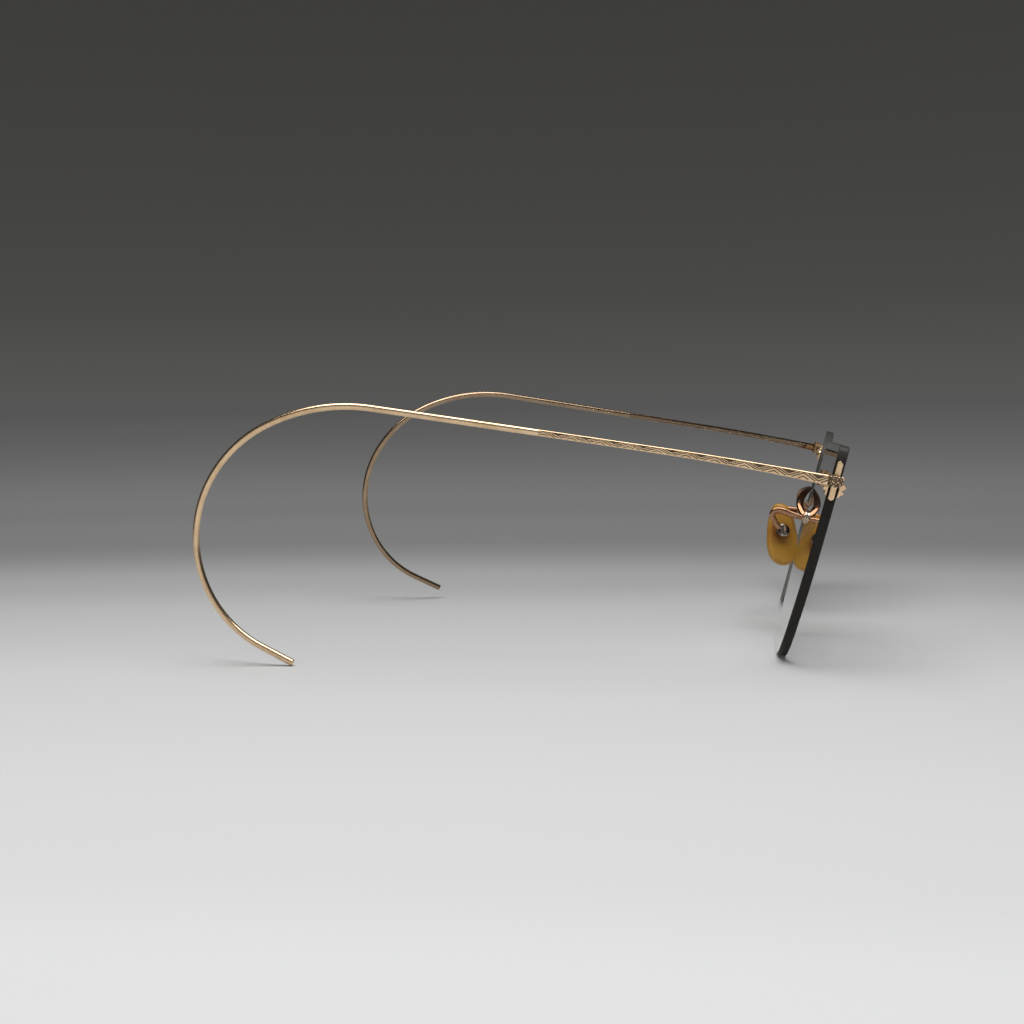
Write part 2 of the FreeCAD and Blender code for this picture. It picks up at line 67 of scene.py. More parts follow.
class SpectaclesMetal(bpy.types.PropertyGroup):
    """Colours of the gold and how worn it is."""

    pale: bpy.props.FloatVectorProperty(
        name="Pale gold", description="Polished gold of temples and straps",
        subtype="COLOR", size=3, min=0, max=1, default=(0.83, 0.60, 0.38))
    deep: bpy.props.FloatVectorProperty(
        name="Worn gold", description="Gold where the plating has dulled",
        subtype="COLOR", size=3, min=0, max=1, default=(0.55, 0.36, 0.20))
    rose: bpy.props.FloatVectorProperty(
        name="Rose gold", description="Redder gold of the bridge and the guard arms",
        subtype="COLOR", size=3, min=0, max=1, default=(0.30, 0.13, 0.075))
    # Painted shade: the side of the temples and wires next to the head is darkened to this colour,
    # for the shade that falls there.
    inner_shade_colour: bpy.props.FloatVectorProperty(
        name="Inner side", description="Duller gold on the side of the temples next to the head",
        subtype="COLOR", size=3, min=0, max=1, default=(0.16, 0.108, 0.080))
    # Dark dirt in the cuts, and also painted shade round the rims of the pad boxes and in the joint
    # at the rear of the endpieces.
    patina_and_shade: bpy.props.FloatVectorProperty(
        name="Patina", description="Dark dirt left in cuts and corners",
        subtype="COLOR", size=3, min=0, max=1, default=(0.055, 0.032, 0.016))
    steel: bpy.props.FloatVectorProperty(
        name="Pad box metal", description="Greyer metal of the pad boxes and screws",
        subtype="COLOR", size=3, min=0, max=1, default=(0.50, 0.46, 0.42))
    gloss: bpy.props.FloatProperty(
        name="Roughness", description="Roughness of the polished gold",
        min=0.02, max=1, default=0.16)


class SpectaclesEngraving(bpy.types.PropertyGroup):
    """Sizes of the chased pattern on the temple bars."""

    repeats: bpy.props.IntProperty(
        name="Repeats", description="Triangles along one bar", min=2, max=20, default=10)
    depth: bpy.props.FloatProperty(
        name="Cut depth", description="Depth of the deepest cut", unit="LENGTH",
        min=0, max=0.0002, precision=6, default=0.00007)
    cut: bpy.props.FloatProperty(
        name="Cut half width", description="Half the width of one graver cut", unit="LENGTH",
        min=0.00001, max=0.0002, precision=6, default=0.00010)


class SpectaclesClear(bpy.types.PropertyGroup):
    """Colours of the lenses and the pads."""

    glass: bpy.props.FloatVectorProperty(
        name="Lens", description="Tint of the lens faces",
        subtype="COLOR", size=3, min=0, max=1, default=(0.97, 0.975, 0.96))
    # Painted shade: the ground edge is given this dark tone for the shade on it; lighter tones are
    # painted over it as light.
    ground: bpy.props.FloatVectorProperty(
        name="Lens edge", description="Ground edge of the lens",
        subtype="COLOR", size=3, min=0, max=1, default=(0.0075, 0.006, 0.0045))
    amber: bpy.props.FloatVectorProperty(
        name="Pad", description="Amber of the nose pads",
        subtype="COLOR", size=3, min=0, max=1, default=(0.60, 0.325, 0.042))
    burnt: bpy.props.FloatVectorProperty(
        name="Pad core", description="Darker clouds in the nose pads",
        subtype="COLOR", size=3, min=0, max=1, default=(0.36, 0.16, 0.025))


class SpectaclesStudio(bpy.types.PropertyGroup):
    """Table, lights and camera."""

    table: bpy.props.FloatVectorProperty(
        name="Table", description="Pale table under the spectacles",
        subtype="COLOR", size=3, min=0, max=1, default=(0.76, 0.77, 0.765))
    camera_place: bpy.props.FloatVectorProperty(
        name="Camera", description="Place of the camera", subtype="TRANSLATION",
        unit="LENGTH", size=3, default=(-0.313664, -0.051412, 0.050337))
    camera_turn: bpy.props.FloatProperty(
        name="Camera turn", description="Turn from straight across, towards the back",
        subtype="ANGLE", default=math.radians(11.319))
    camera_drop: bpy.props.FloatProperty(
        name="Camera drop", description="How far the camera looks down",
        subtype="ANGLE", default=math.radians(4.841))
    camera_roll: bpy.props.FloatProperty(
        name="Camera roll", description="Roll about the line of sight",
        subtype="ANGLE", default=math.radians(-0.795))
    focal: bpy.props.FloatProperty(
        name="Focal length", description="Focal length in millimetres on a 36 mm sensor",
        min=10, max=200, default=51.149)


class SpectaclesSettings(bpy.types.PropertyGroup):
    """Everything a user would change."""

    metal: bpy.props.PointerProperty(type=SpectaclesMetal)
    engraving: bpy.props.PointerProperty(type=SpectaclesEngraving)
    clear: bpy.props.PointerProperty(type=SpectaclesClear)
    studio: bpy.props.PointerProperty(type=SpectaclesStudio)


def settings():
    """The settings kept on the scene."""
    return bpy.context.scene.spectacles


# ---------------------------------------------------------------- node trees


class Flow:
    """One value running through a node tree, on which arithmetic can be written."""

    def __init__(self, recipe, socket):
        self.recipe = recipe
        self.socket = socket

    def _math(self, operation, *terms):
        inputs = dict(enumerate(terms))
        return self.recipe.node("ShaderNodeMath", {"operation": operation}, inputs)

    def __add__(self, other):
        return self._math("ADD", self, other)

    __radd__ = __add__

    def __sub__(self, other):
        return self._math("SUBTRACT", self, other)

    def __rsub__(self, other):
        return self._math("SUBTRACT", other, self)

    def __mul__(self, other):
        return self._math("MULTIPLY", self, other)

    __rmul__ = __mul__

    def __abs__(self):
        return self._math("ABSOLUTE", self)


class Recipe:
    """Builds one node tree, node by node."""

    def __init__(self, tree):
        self.tree = tree
        tree.nodes.clear()

    @staticmethod
    def _find(sockets, key):
        if isinstance(key, int):
            return sockets[key]
        for socket in sockets:
            if socket.identifier == key:
                return socket
        return sockets[key]

    @staticmethod
    def _set_stops(ramp, stops):
        while len(ramp.elements) < len(stops):
            ramp.elements.new(0.5)
        for element, (place, colour) in zip(ramp.elements, stops):
            element.position = place
            element.color = colour

    def node(self, kind, settings=None, inputs=None, output=0):
        """Add a node: its settings first, then the values or links of its sockets."""
        made = self.tree.nodes.new(kind)
        for name, value in (settings or {}).items():
            if name == "stops":
                self._set_stops(made.color_ramp, value)
            else:
                setattr(made, name, value)
        for key, value in (inputs or {}).items():
            socket = self._find(made.inputs, key)
            if isinstance(value, Flow):
                self.tree.links.new(value.socket, socket)
            else:
                socket.default_value = value
        return Flow(self, self._find(made.outputs, output)) if made.outputs else made

    def noise(self, vector, scale, detail=3.0, roughness=0.5):
        """Cloudy noise from 0 to 1; the scale is in cells per metre."""
        inputs = {"Vector": vector, "Scale": scale, "Detail": detail, "Roughness": roughness}
        return self.node("ShaderNodeTexNoise", {}, inputs)

    def blend(self, factor, first, second):
        """A colour between two colours."""
        inputs = {"Factor_Float": factor, "A_Color": first, "B_Color": second}
        return self.node("ShaderNodeMix", {"data_type": "RGBA"}, inputs, "Result_Color")

    def spread(self, value, low, high, new_low=0.0, new_high=1.0):
        """Stretch a range of values onto another, held at both ends."""
        inputs = {"Value": value, "From Min": low, "From Max": high,
                  "To Min": new_low, "To Max": new_high}
        return self.node("ShaderNodeMapRange", {"clamp": True}, inputs)

    def place(self, scale=(1, 1, 1)):
        """Object coordinates, stretched."""
        spot = self.node("ShaderNodeTexCoord", output="Object")
        inputs = {"Vector": spot, "Scale": scale}
        return self.node("ShaderNodeMapping", {"vector_type": "POINT"}, inputs)

    def bump(self, height, strength, distance):
        """A normal bent by a height."""
        inputs = {"Height": height, "Strength": strength, "Distance": distance}
        return self.node("ShaderNodeBump", {}, inputs)


# Sizes of the noise patterns, in cells per metre.
CLOUD_CELLS = 260.0
SPECK_CELLS = 2600.0
CHASED_SPECK_CELLS = 3200.0
SCRATCH_CELLS = 3800.0
SMEAR_CELLS = 90.0
GRIND_CELLS = 5200.0
PAD_CLOUD_CELLS = 190.0
PAD_GRAIN_CELLS = 1500.0
FIBRE_CELLS = 900.0
# Depth of the finest scratches and specks.
SCRATCH_DEPTH = 0.02 * MM


def solid(colour):
    """A colour with full alpha."""
    return (*colour, 1.0)


def new_material(name):
    """An empty node material and the recipe that fills it."""
    material = bpy.data.materials.new(name)
    material.use_nodes = True
    return material, Recipe(material.node_tree)


def finish_material(recipe, shader):
    """Send a shader to the material's surface."""
    recipe.node("ShaderNodeOutputMaterial", {}, {"Surface": shader})


def painted_inner_shade(r):
    """Mask of the surfaces that face the head: those turned towards the plane x = 0, where shade is
    painted.
    """
    across = r.node("ShaderNodeSeparateXYZ", {}, {0: r.place()}, "X")
    facing = r.node("ShaderNodeTexCoord", output="Normal")
    facing = r.node("ShaderNodeSeparateXYZ", {}, {0: facing}, "X")
    side = r.spread(across, -MM, MM, -1.0, 1.0)
    return r.spread(side * facing * -1.0, 0.1, 0.7)


def metal(name, colour, worn, roughness, grain_scale=(1, 1, 1), dirt=0.0, inner_shade_amount=0.0):
    """Plated metal: clouded colour, uneven polish, fine scratches stretched by the grain, and
    painted shade on the side next to the head.
    """
    material, r = new_material(name)
    spot = r.place()
    clouds = r.noise(spot, CLOUD_CELLS, 4.0, 0.6)
    specks = r.noise(spot, SPECK_CELLS, 3.0, 0.65)
    scratches = r.noise(r.place(grain_scale), SCRATCH_CELLS, 2.0, 0.6)
    wear = r.spread(clouds, 0.40, 0.68)
    base = r.blend(wear * 0.55, solid(colour), solid(worn))
    # Painted shade on the side that faces the head.
    base = r.blend(painted_inner_shade(r) * inner_shade_amount, base, solid(settings().metal.inner_shade_colour))
    grime = r.spread(specks, 0.58, 0.74) * dirt
    base = r.blend(grime, base, solid(settings().metal.patina_and_shade))
    polish = roughness + (clouds - 0.5) * 0.16 + scratches * 0.10 + grime * 0.25
    normal = r.bump(scratches + specks * 0.6, 0.04, SCRATCH_DEPTH)
    shader = r.node("ShaderNodeBsdfPrincipled", {}, {
        "Base Color": base, "Metallic": 1.0, "Roughness": polish, "Normal": normal})
    finish_material(r, shader)
    return material


def chased_metal(name):
    """Gold with dark dirt lying in the cuts, from the depth kept on the mesh, and painted shade on
    the side next to the head.
    """
    material, r = new_material(name)
    gold = settings().metal
    depth = r.node("ShaderNodeAttribute", {"attribute_name": "cut"}, output="Fac")
    spot = r.place()
    clouds = r.noise(spot, CLOUD_CELLS, 4.0, 0.6)
    specks = r.noise(spot, CHASED_SPECK_CELLS, 3.0, 0.65)
    wear = r.spread(clouds, 0.38, 0.66)
    base = r.blend(wear * 0.45, solid(gold.pale), solid(gold.deep))
    # On the endpieces the kept depth also holds their rear end, painted dark as shade in the joint.
    filled = r.spread(depth + (specks - 0.5) * 0.25, 0.12, 0.50)
    # Painted shade on the side that faces the head.
    base = r.blend(painted_inner_shade(r) * 0.8, base, solid(gold.inner_shade_colour))
    base = r.blend(filled * 0.93, base, solid(gold.patina_and_shade))
    polish = gold.gloss + (clouds - 0.5) * 0.14 + filled * 0.35
    normal = r.bump(specks, 0.12, SCRATCH_DEPTH)
    shader = r.node("ShaderNodeBsdfPrincipled", {}, {
        "Base Color": base, "Metallic": 1.0 - filled * 0.5, "Roughness": polish,
        "Normal": normal})
    finish_material(r, shader)
    return material


# Radius of the swelling face of a pad box, in radii of the box.
DOME_SHARE = 1.3


def domed_metal(name, core, axis, radius):
    """Dark metal of a round box whose face swells to the middle, with painted shade along its rim.
    """
    material, r = new_material(name)
    colours = settings().metal
    spot = r.place()
    arm = r.node("ShaderNodeVectorMath", {"operation": "SUBTRACT"},
                 {0: spot, 1: tuple(core)}, "Vector")
    swing = r.node("ShaderNodeVectorMath", {"operation": "CROSS_PRODUCT"},
                   {0: arm, 1: tuple(axis)}, "Vector")
    reach = r.node("ShaderNodeVectorMath", {"operation": "LENGTH"}, {0: swing}, "Value")
    specks = r.noise(spot, SPECK_CELLS, 3.0, 0.65)
    # Painted shade: the rim of the box turns dark.
    rim_shade = r.spread(reach + (specks - 0.5) * (0.4 * MM), radius * 0.45, radius * 0.85)
    base = r.blend(rim_shade * 0.85, solid(colours.steel), solid(colours.patina_and_shade))
    swell = reach * reach * (-0.5 / (radius * DOME_SHARE))
    shader = r.node("ShaderNodeBsdfPrincipled", {}, {
        "Base Color": base, "Metallic": 1.0, "Roughness": 0.18 + specks * 0.12,
        "Normal": r.bump(swell, 1.0, 1.0)})
    finish_material(r, shader)
    return material


MIRROR = (0.95, 0.95, 0.93)
# Tones of the ground edge: painted light under the top light, a darker tone in its coarser grains,
# painted light where it is seen from within the lens, and painted light at the nose side, where
# light comes through.
EDGE_LIT = (0.11, 0.105, 0.095)
EDGE_GRAIN = (0.035, 0.032, 0.027)
EDGE_INSIDE_LIGHT = (0.30, 0.30, 0.28)
EDGE_NASAL = (0.10, 0.105, 0.09)
# Distances from the middle plane between which the nose side ends.
NASAL_REACH = (22 * MM, 46 * MM)
# Heights between which the nose side's edge turns darker again.
NASAL_RISE = (17 * MM, 23 * MM)
# Depths below the lens top between which its edge catches the top light.
TOP_LIGHT = (3.5 * MM, 0.8 * MM)


def lens_glass(name, axis, top):
    """Clear faces that mirror at a grazing angle, and a dark ground edge turned off the axis, its
    dark painted as shade and its lighter tones painted as light.
    """
    material, r = new_material(name)
    clear = settings().clear
    facing = r.node("ShaderNodeNewGeometry", output="Normal")
    along = r.node("ShaderNodeVectorMath", {"operation": "DOT_PRODUCT"},
                   {0: facing, 1: tuple(axis)}, "Value")
    edge = 1.0 - r.spread(abs(along), 0.80, 0.92)
    spot = r.place()
    smears = r.noise(spot, SMEAR_CELLS, 5.0, 0.6)
    faces = r.node("ShaderNodeBsdfPrincipled", {}, {
        "Base Color": solid(clear.glass), "Transmission Weight": 1.0, "IOR": 1.5,
        "Roughness": r.spread(smears, 0.45, 0.8, 0.0, 0.03), "Alpha": 0.5})
    skim = r.node("ShaderNodeLayerWeight", {}, {"Blend": 0.5}, "Facing")
    mirror = r.node("ShaderNodeBsdfPrincipled", {}, {
        "Base Color": solid(MIRROR), "Metallic": 1.0, "Roughness": 0.03})
    skim = r.spread(skim, 0.80, 0.92) * 0.96
    faces = r.node("ShaderNodeMixShader", {}, {0: skim, 1: faces, 2: mirror})
    grind = r.noise(spot, GRIND_CELLS, 2.0, 0.6)
    height = r.node("ShaderNodeSeparateXYZ", {}, {0: spot}, "Z")
    across = r.node("ShaderNodeSeparateXYZ", {}, {0: spot}, "X")
    nasal = 1.0 - r.spread(abs(across), *NASAL_REACH)
    nasal = nasal * (1.0 - r.spread(height, *NASAL_RISE) * 0.7)
    lift = r.spread(height, *(top - drop for drop in TOP_LIGHT))
    # The edge is painted: its dark tone is painted shade, and the top, inside and nose-side tones
    # are painted light.
    shade = r.blend(lift * 0.4, solid(clear.ground), solid(EDGE_LIT))
    shade = r.blend(r.spread(grind, 0.4, 0.75) * 0.5, shade, solid(EDGE_GRAIN))
    inside = r.node("ShaderNodeNewGeometry", output="Backfacing")
    shade = r.blend(inside, shade, solid(EDGE_INSIDE_LIGHT))
    shade = r.blend(nasal * 0.85, shade, solid(EDGE_NASAL))
    ground = r.node("ShaderNodeBsdfPrincipled", {}, {
        "Base Color": shade, "Roughness": 0.32 + grind * 0.2, "Specular IOR Level": 0.2,
        "Normal": r.bump(grind, 0.15, SCRATCH_DEPTH)})
    edge = edge * (1.0 - nasal * 0.45)
    shader = r.node("ShaderNodeMixShader", {}, {0: edge, 1: faces, 2: ground})
    finish_material(r, shader)
    return material


# Colour of the amber round the stud, and the distances from the stud between which it fades.
STUD_SHADOW = (0.20, 0.055, 0.015)
STUD_FADE = (1.2 * MM, 3.6 * MM)


def amber_pad(name, core):
    """Clouded translucent amber, darker round the metal stud."""
    material, r = new_material(name)
    clear = settings().clear
    spot = r.place()
    clouds = r.noise(spot, PAD_CLOUD_CELLS, 4.0, 0.55)
    fine = r.noise(spot, PAD_GRAIN_CELLS, 3.0, 0.6)
    reach = r.node("ShaderNodeVectorMath", {"operation": "DISTANCE"},
                   {0: spot, 1: tuple(core)}, "Value")
    halo = 1.0 - r.spread(reach, *STUD_FADE)
    depth = r.spread(clouds, 0.35, 0.7) * 0.55
    base = r.blend(depth, solid(clear.amber), solid(clear.burnt))
    base = r.blend(halo * 0.7, base, solid(STUD_SHADOW))
    shader = r.node("ShaderNodeBsdfPrincipled", {}, {
        "Base Color": base, "Roughness": 0.24 + fine * 0.14, "IOR": 1.5,
        "Transmission Weight": 0.28, "Subsurface Weight": 0.55,
        "Subsurface Radius": (1.0, 0.45, 0.1), "Subsurface Scale": 1.2 * MM,
        "Normal": r.bump(fine, 0.08, 0.04 * MM)})
    finish_material(r, shader)
    return material


# Centre of the pool of light painted on the card, and how its colour falls off with the distance
# from there.
LIGHT_POOL_CENTRE = (-0.70, -0.06, 0.0)
LIGHT_POOL_FALLOFF = (
    (0.0, 1.0), (0.51, 1.0), (0.53, 0.933), (0.565, 0.916), (0.61, 0.859), (0.642, 0.821),
    (0.679, 0.723), (0.718, 0.656), (0.752, 0.547), (0.781, 0.509), (0.803, 0.439),
    (0.828, 0.367), (0.857, 0.321), (0.99, 0.245), (1.0, 0.24))
# Painted glow of the card far from the spectacles, which emits light though it is no lamp: distance
# on a quarter scale, and brightness.
PAINTED_GLOW_SCALE = 0.25
FAR_PAINTED_GLOW = (
    (0.0, 0.0), (0.215, 0.0), (0.235, 0.04), (0.2615, 0.07), (0.2975, 0.085), (0.3975, 0.095),
    (0.685, 0.09), (1.0, 0.080))


FIBRE_TONE = (0.45, 0.46, 0.46)


def table_card(name):
    """Pale card with a painted pool of light, brightest on the camera's side and falling off into
    the studio, and a painted glow far out.
    """
    material, r = new_material(name)
    spot = r.place()
    pool_distance = r.node("ShaderNodeVectorMath", {"operation": "DISTANCE"},
                     {0: spot, 1: LIGHT_POOL_CENTRE}, "Value")
    pale = Vector(settings().studio.table)
    stops = [(place, solid(pale * share)) for place, share in LIGHT_POOL_FALLOFF]
    # Painted pool of light: the colour falls off with the distance from its centre.
    base = r.node("ShaderNodeValToRGB", {"stops": stops}, {0: pool_distance}, "Color")
    # Painted glow: the card emits light far from the spectacles.
    painted_glow_stops = [(place, (tone, tone, tone, 1.0)) for place, tone in FAR_PAINTED_GLOW]
    painted_glow = r.node("ShaderNodeValToRGB", {"stops": painted_glow_stops},
                  {0: pool_distance * PAINTED_GLOW_SCALE}, "Color")
    fibre = r.noise(spot, FIBRE_CELLS, 3.0, 0.6)
    base = r.blend(fibre * 0.05, base, solid(FIBRE_TONE))
    shader = r.node("ShaderNodeBsdfPrincipled", {}, {
        "Base Color": base, "Roughness": 0.62 + fibre * 0.1, "Specular IOR Level": 0.25,
        "Emission Color": painted_glow, "Emission Strength": 1.0,
        "Normal": r.bump(fibre, 0.05, 0.1 * MM)})
    finish_material(r, shader)
    return material


# ---------------------------------------------------------------- shapes


def dress(node, material):
    """Give a CAD node its one material."""
    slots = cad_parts[node].data.materials
    slots.clear()
    slots.append(material)


def mesh_object(name, mesh):
    """A new object at the origin that shows a mesh."""
    made = bpy.data.objects.new(name, mesh)
    bpy.context.scene.collection.objects.link(made)
    return made


# Least share of a flat face's normal that points sideways.
SIDEWAYS = 0.8


def plate_axes(node):
    """Middle, long axis and thin axis of a flat bar, from its largest flat triangle."""
    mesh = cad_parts[node].data
    points = [v.co for v in mesh.vertices]
    flats = [face for face in mesh.polygons if abs(face.normal.x) > SIDEWAYS]
    thin = max(flats, key=lambda face: face.area).normal.normalized()
    front = min(points, key=lambda p: p.y)
    back = max(points, key=lambda p: p.y)
    long = back - front
    long = (long - thin * long.dot(thin)).normalized()
    middle = (front + back) / 2
    reach = [(p - middle).dot(thin) for p in points]
    return middle + thin * (min(reach) + max(reach)) / 2, long, thin


def bar_path(node, stations):
    """Centre-line points with the bar's local height, and the directions outward and up."""
    middle, long, thin = plate_axes(node)
    outward = thin * (1 if middle.x * thin.x > 0 else -1)
    up = thin.cross(long)
    up *= 1 if up.z > 0 else -1
    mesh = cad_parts[node].data
    polygons = [tuple(p.vertices) for p in mesh.polygons]
    surface = BVHTree.FromPolygons([v.co for v in mesh.vertices], polygons)
    reach = [(v.co - middle).dot(long) for v in mesh.vertices]
    lowest, highest = min(reach), max(reach)
    path = []
    for index in range(stations + 1):
        along = lowest + (index / stations) * (highest - lowest)
        core = middle + long * min(max(along, lowest + END_MARGIN), highest - END_MARGIN)
        top = surface.ray_cast(core + up * CAST_REACH, -up)[0]
        bottom = surface.ray_cast(core - up * CAST_REACH, up)[0]
        if top is None or bottom is None:
            raise RuntimeError("no bar found at station %d of %s" % (index, node))
        path.append(((top + bottom) / 2 + long * (along - (core - middle).dot(long)),
                     (top - bottom).length))
    return path, outward, up


# ---------------------------------------------------------------- chased temple bars


BAR_THICKNESS = 0.9 * MM
END_MARGIN = 0.35 * MM
CAST_REACH = 20 * MM
BAR_EASE = 0.26 * MM
BAR_STATIONS = 60
BAR_SHARP_ANGLE = 50
TILE_COLUMNS = 84
TILE_ROWS = 30
TILE_JOIN_GAP = 0.0001 * MM
NOMINAL_HEIGHT = 1.35 * MM
# How far the pattern starts into its first repeat, in repeats.
PATTERN_SHIFT = 0.19
# Heights on the bar, as shares of its nominal height from its middle.
RAIL = 0.30
FOOT = -0.43
# Height of one triangle, and how far above its cut sides the stipple starts, as such shares.
TRIANGLE = 0.78
STIPPLE_START = 0.42
# Each line that follows the triangles: how far above them it runs, and how deep it is cut.
STROKES = ((0.0, 1.0), (0.25, 0.9), (-0.36, 0.85))
# Waves per length of the stipple along and up the bar, in radians per metre, and its slant.
STIPPLE_ALONG = 41000
STIPPLE_UP = 52000
STIPPLE_SLANT = 13000


def cut_depth(across, up, pitch, cut):
    """Depth from 0 to 1 of the chased pattern at a spot on the outer face of one repeat."""
    top_rail = RAIL * NOMINAL_HEIGHT
    if not FOOT * NOMINAL_HEIGHT < up < top_rail:
        return 0.0
    fold = abs(2 * (across / pitch) - 1)
    wave = top_rail - (1 - fold) * TRIANGLE * NOMINAL_HEIGHT
    slope = 2 * TRIANGLE * NOMINAL_HEIGHT / pitch
    lean = math.sqrt(1 + slope * slope)
    depth = 0.0
    for shift, strength in STROKES:
        gap = abs(up - wave - shift * NOMINAL_HEIGHT) / lean
        depth = max(depth, strength * max(0.0, 1 - gap / cut))
    if up > wave + STIPPLE_START * NOMINAL_HEIGHT:
        stipple = math.sin(across * STIPPLE_ALONG)
        stipple *= math.sin(up * STIPPLE_UP + across * STIPPLE_SLANT)
        depth = max(depth, 0.62 + 0.38 * stipple)
    return depth


def ring_outline():
    """Cross-section of the bar: outward offset and height share, with the outer face first."""
    half = BAR_THICKNESS / 2
    ease = BAR_EASE
    lip = ease / NOMINAL_HEIGHT
    outline = []
    for row in range(TILE_ROWS + 1):
        outline.append((half, -0.5 + lip + (1 - 2 * lip) * row / TILE_ROWS, True))
    for out, edge in ((1, 1), (-1, 1), (-1, -1), (1, -1)):
        arcs = (30, 60, 90) if out * edge > 0 else (0, 30, 60)
        for angle in arcs:
            turn = math.radians(angle)
            sideways, upwards = (math.cos(turn), math.sin(turn)) if out * edge > 0 else (
                math.sin(turn), math.cos(turn))
            outline.append((out * (half - ease + ease * sideways),
                            edge * (0.5 - lip + lip * upwards), False))
        if (out, edge) == (-1, 1):
            outline.append((-half, 0.5 - lip, False))
            outline.append((-half, 0.0, False))
            outline.append((-half, -0.5 + lip, False))
    return outline


def chased_tile(pitch, cut, depth):
    """One repeat of the bar as an open tube, with its pattern cut into the outer face."""
    outline = ring_outline()
    mesh = bpy.data.meshes.new("chased_tile")
    points = []
    depths = []
    for column in range(TILE_COLUMNS + 1):
        along = pitch * column / TILE_COLUMNS
        for out, share, on_face in outline:
            shifted = (along + PATTERN_SHIFT * pitch) % pitch
            amount = cut_depth(shifted, share * NOMINAL_HEIGHT, pitch, cut) if on_face else 0.0
            points.append((along, out - amount * depth, share))
            depths.append(amount)
    count = len(outline)
    faces = []
    for column in range(TILE_COLUMNS):
        for row in range(count):
            after = (row + 1) % count
            here = column * count
            faces.append((here + row, here + after, here + count + after, here + count + row))
    mesh.from_pydata(points, [], faces)
    mesh.attributes.new("cut", "FLOAT", "POINT").data.foreach_set("value", depths)
    return mesh


def path_curve(name, path):
    """A curve through the bar's centre line whose radius is the local height."""
    curve = bpy.data.curves.new(name, "CURVE")
    curve.dimensions = "3D"
    spline = curve.splines.new("POLY")
    spline.points.add(len(path) - 1)
    for point, (spot, height) in zip(spline.points, path):
        point.co = (*spot, 1.0)
        point.radius = height
    return curve


def start_tree(name, sockets):
    """A new Geometry Nodes tree: the recipe that fills it, and its inputs by name."""
    tree = bpy.data.node_groups.new(name, "GeometryNodeTree")
    for label, kind in sockets.items():
        tree.interface.new_socket(label, in_out="INPUT", socket_type="NodeSocket" + kind)
    tree.interface.new_socket("Geometry", in_out="OUTPUT", socket_type="NodeSocketGeometry")
    r = Recipe(tree)
    ports = tree.nodes.new("NodeGroupInput")
    return r, {label: Flow(r, ports.outputs[label]) for label in sockets}


def finish_tree(r, shape, finish):
    """Make a tree's shape real, give it its material and send it out."""
    shape = r.node("GeometryNodeRealizeInstances", {}, {0: shape})
    shape = r.node("GeometryNodeSetMaterial", {}, {"Geometry": shape, "Material": finish})
    r.node("NodeGroupOutput", {}, {"Geometry": shape})
    return r.tree


def repeat_tree(name):
    """Geometry Nodes: repeat a tile along a path and bend it to the path's height."""
    r, given = start_tree(name, {
        "Geometry": "Geometry", "Tile": "Object", "Path": "Object", "Repeats": "Int",
        "Pitch": "Float", "Outward": "Vector", "Upward": "Vector", "Finish": "Material"})
    tile = r.node("GeometryNodeObjectInfo", {}, {"Object": given["Tile"]}, "Geometry")
    path = r.node("GeometryNodeObjectInfo", {}, {"Object": given["Path"]}, "Geometry")
    step = r.node("ShaderNodeCombineXYZ", {}, {0: given["Pitch"]})
    line = r.node("GeometryNodeMeshLine", {"mode": "OFFSET"},
                  {"Count": given["Repeats"], "Offset": step})
    strip = r.node("GeometryNodeInstanceOnPoints", {}, {"Points": line, "Instance": tile})
    strip = r.node("GeometryNodeRealizeInstances", {}, {0: strip})
    strip = r.node("GeometryNodeMergeByDistance", {}, {"Geometry": strip, "Distance": TILE_JOIN_GAP})
    flat = r.node("GeometryNodeInputPosition")
    along, out, share = (r.node("ShaderNodeSeparateXYZ", {}, {0: flat}, axis) for axis in "XYZ")
    radius = r.node("GeometryNodeInputRadius")
    settled = {"mode": "LENGTH", "data_type": "FLOAT"}
    asked = {"Curves": path, "Value": radius, "Length": along}
    height = r.node("GeometryNodeSampleCurve", settled, asked, "Value")
    spot = r.node("GeometryNodeSampleCurve", settled, asked, "Position")
    rise = r.node("ShaderNodeVectorMath", {"operation": "SCALE"},
                  {0: given["Upward"], "Scale": share * height})
    proud = r.node("ShaderNodeVectorMath", {"operation": "SCALE"},
                   {0: given["Outward"], "Scale": out})
    spot = r.node("ShaderNodeVectorMath", {"operation": "ADD"}, {0: spot, 1: rise})
    spot = r.node("ShaderNodeVectorMath", {"operation": "ADD"}, {0: spot, 1: proud})
    strip = r.node("GeometryNodeSetPosition", {}, {"Geometry": strip, "Position": spot})
    return finish_tree(r, strip, given["Finish"])


def plain_mesh(source):
    """Turn an object with modifiers into a plain mesh, and remove the object."""
    depsgraph = bpy.context.evaluated_depsgraph_get()
    mesh = bpy.data.meshes.new_from_object(
        source.evaluated_get(depsgraph), preserve_all_data_layers=True, depsgraph=depsgraph)
    if not mesh.polygons:
        raise RuntimeError("nothing was made for " + source.name)
    bpy.data.objects.remove(source)
    return mesh


def keep_inside(mesh, node):
    """Move any point that lies outside a CAD node's box onto the box."""
    low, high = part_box(node)
    for vertex in mesh.vertices:
        vertex.co = [min(max(value, floor), roof)
                     for value, floor, roof in zip(vertex.co, low, high)]


def run_tree(name, tree, values):
    """Evaluate a tree on an empty mesh and return the plain mesh that it makes."""
    carrier = mesh_object(name, bpy.data.meshes.new(name))
    modifier = carrier.modifiers.new("build", "NODES")
    modifier.node_group = tree
    set_inputs(modifier, values)
    return plain_mesh(carrier)


